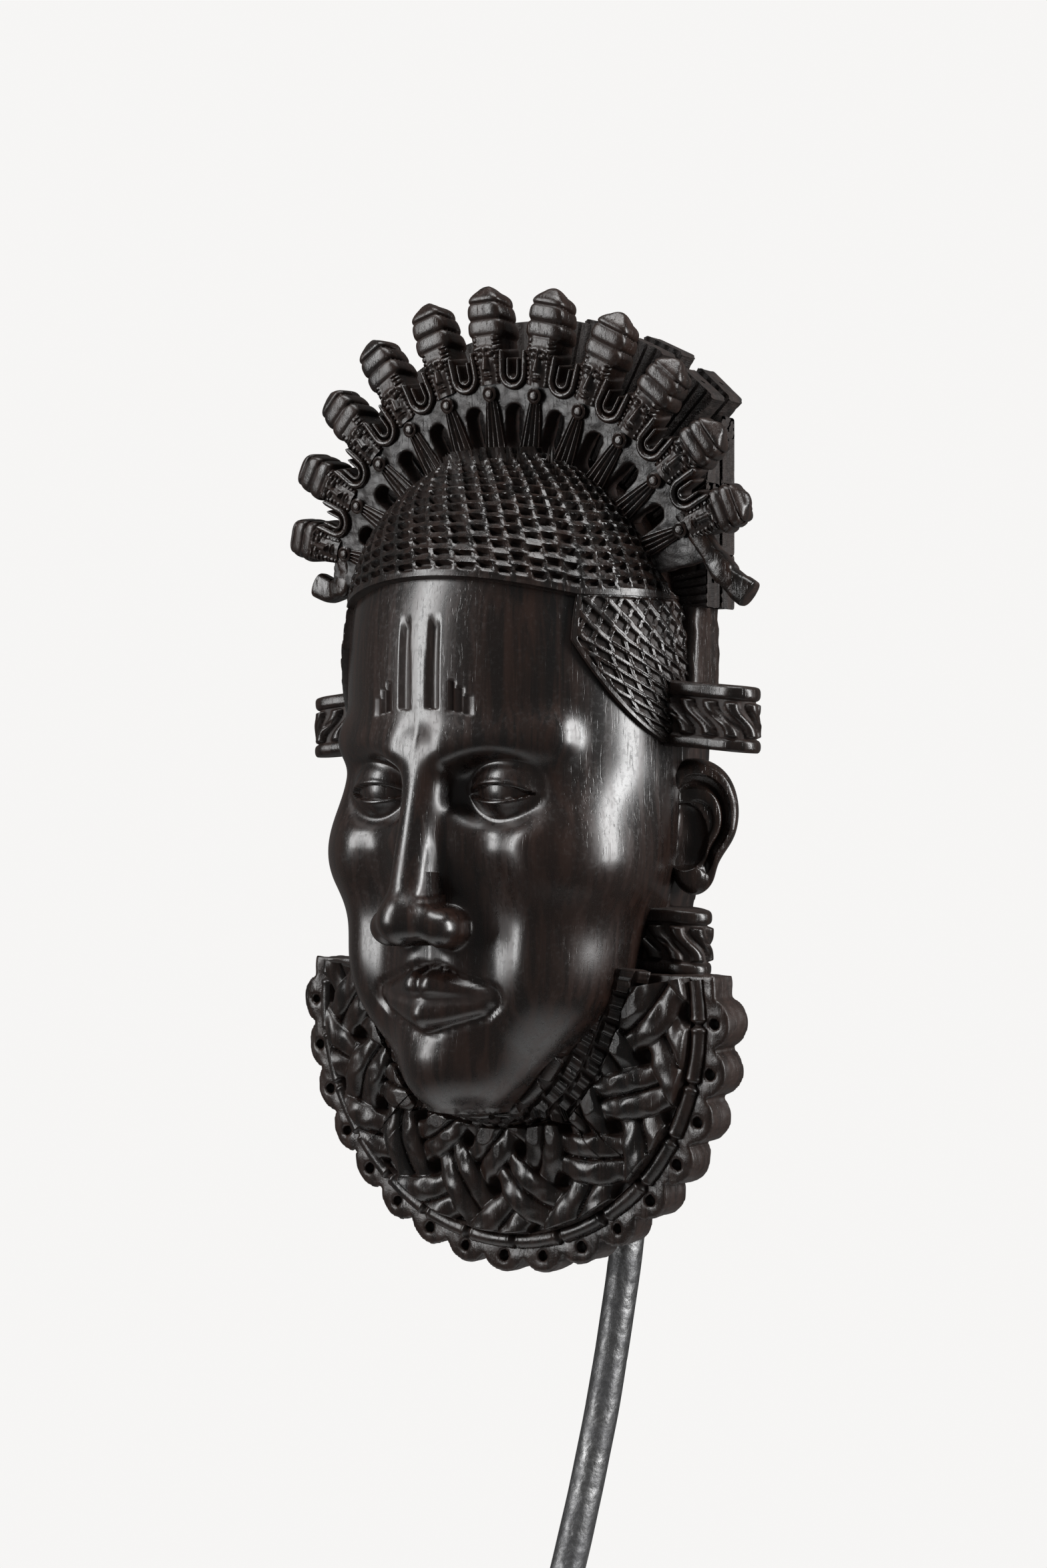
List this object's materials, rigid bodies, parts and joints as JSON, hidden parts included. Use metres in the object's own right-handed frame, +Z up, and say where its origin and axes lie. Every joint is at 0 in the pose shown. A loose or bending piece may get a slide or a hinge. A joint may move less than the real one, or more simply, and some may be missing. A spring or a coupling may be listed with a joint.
{
  "type": "carved wooden mask",
  "caption": "Carved dark wooden mask with an openwork crown of small heads and a braided scalloped collar, tilting on a bent steel display stand",
  "frame": {"origin": "centre of the underside of the base, on the table, straight below the foot of the rod", "axes": "+Z up, the mask looks along -Y, +X is the mask's own left side (the side seen in the picture)"},
  "size_m": [0.1886, 0.164, 0.5501],
  "materials": {
    "ebony": "waxed, satin, with tool marks",
    "polished_ebony": "highly polished",
    "dark_steel": "blackened, satin",
    "bright_steel": "satin",
    "felt": "matte"
  },
  "bodies": {
    "base": {"felt_pad": "felt", "base_plate": "dark_steel", "rod_socket": "dark_steel", "set_screw": "bright_steel"},
    "arm": {"stand_rod": "dark_steel", "arm_eye": "dark_steel"},
    "mask": {"back_bar": "dark_steel", "clevis": "dark_steel", "back_bar_screws": "bright_steel", "pivot_bolt": "bright_steel", "pivot_washers": "bright_steel", "pivot_nut": "bright_steel", "mask_shell": "ebony", "face": "polished_ebony", "hair_cap": "ebony", "temple_hair_left": "ebony", "temple_hair_right": "ebony", "ear_left": "ebony", "ear_right": "ebony", "upper_lug_left": "ebony", "upper_lug_right": "ebony", "lower_lug_left": "ebony", "lower_lug_right": "ebony", "choker": "ebony", "collar_plate": "ebony", "collar_bead": "ebony", "collar_braid": "ebony", "crown_gallery": "ebony", "crown_posts": "ebony", "crown_curls": "ebony", "crown_scroll_left": "ebony", "crown_scroll_right": "ebony", "crown_back_blocks": "ebony", "crown_head_01": "ebony", "crown_head_02": "ebony", "crown_head_03": "ebony", "crown_head_04": "ebony", "crown_head_05": "ebony", "crown_head_06": "ebony", "crown_head_07": "ebony", "crown_head_08": "ebony", "crown_head_09": "ebony", "crown_head_10": "ebony", "crown_head_11": "ebony"}
  },
  "joints": [
    {"name": "stand_swivel", "type": "hinge", "parent": "base", "child": "arm", "pos_m": [0, 0, 0.0245], "axis": [0, 0, 1], "continuous": true},
    {"name": "mask_tilt", "type": "hinge", "parent": "arm", "child": "mask", "pos_m": [0, 0.05644, 0.31894], "axis": [1, 0, 0], "range_deg": [-12, 15]}
  ]
}
